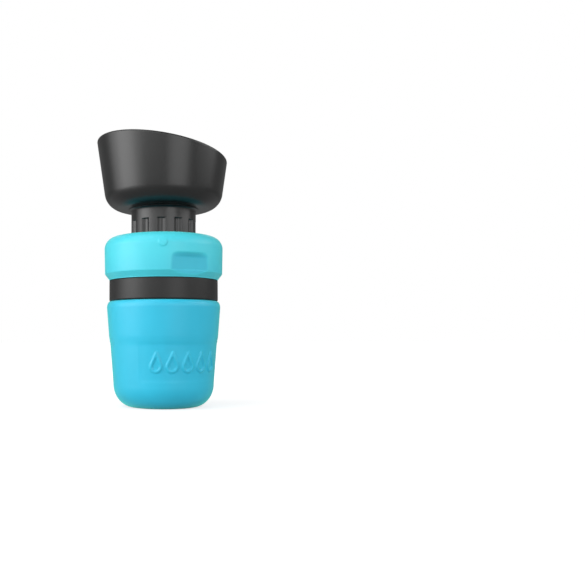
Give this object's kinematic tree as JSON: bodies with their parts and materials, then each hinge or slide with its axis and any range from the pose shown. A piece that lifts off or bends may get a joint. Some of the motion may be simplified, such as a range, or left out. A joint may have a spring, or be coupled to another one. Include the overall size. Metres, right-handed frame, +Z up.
{
  "type": "dog travel water bottle",
  "caption": "Soft squeeze bottle with a threaded collar, a quarter-turn valve neck and a drinking bowl with a tilted rim on top.",
  "frame": {"origin": "centre of the foot, on the plane that the bottle stands on", "axes": "+Z up along the bottle's axis, towards the bowl; -Y towards the label panel and the thumb pocket; +X within a few degrees of the bowl's low drinking lip at rest"},
  "size_m": [0.0919, 0.0919, 0.1861],
  "materials": {
    "blue_silicone": "satin moulded silicone",
    "blue_soft_touch": "satin soft-touch overmould",
    "dark_satin": "satin moulded plastic",
    "bowl_dark": "satin moulded plastic with broad highlights",
    "inner_plastic": "as moulded",
    "natural_plastic": "natural polypropylene",
    "seal_rubber": "matt seal rubber",
    "screw_steel": "stainless, bright"
  },
  "bodies": {
    "bottle": {"squeeze_bottle": "blue_silicone", "mouth_ring": "dark_satin", "clamp_sleeve": "inner_plastic"},
    "lid": {"inner_lid": "inner_plastic", "lid_gasket": "seal_rubber", "port_plate": "inner_plastic", "valve_seat": "seal_rubber", "plate_screws": "screw_steel", "dip_tube": "natural_plastic", "snap_ring": "screw_steel"},
    "collar": {"collar_shell": "blue_soft_touch", "collar_nut": "inner_plastic", "slip_washer": "natural_plastic"},
    "bowl_head": {"neck_cap": "dark_satin", "valve_rotor": "natural_plastic", "rotor_seal": "seal_rubber", "bowl": "bowl_dark", "bowl_gasket": "seal_rubber", "bowl_nut": "dark_satin", "strainer": "dark_satin"}
  },
  "joints": [
    {"name": "lid_lift", "type": "slide", "parent": "bottle", "child": "lid", "axis": [0, 0, 1], "range_m": [0, 0.0045]},
    {"name": "collar_turn", "type": "hinge", "parent": "lid", "child": "collar", "pos_m": [0, 0, 0.095], "axis": [0, 0, 1], "range_deg": [0, 540]},
    {"name": "bowl_twist", "type": "hinge", "parent": "lid", "child": "bowl_head", "pos_m": [0, 0, 0.115], "axis": [0, 0, 1], "range_deg": [0, 90]}
  ],
  "couplings": [
    {"joint": "lid_lift", "follows": "collar_turn", "m_per_rad": 0.00047746}
  ]
}
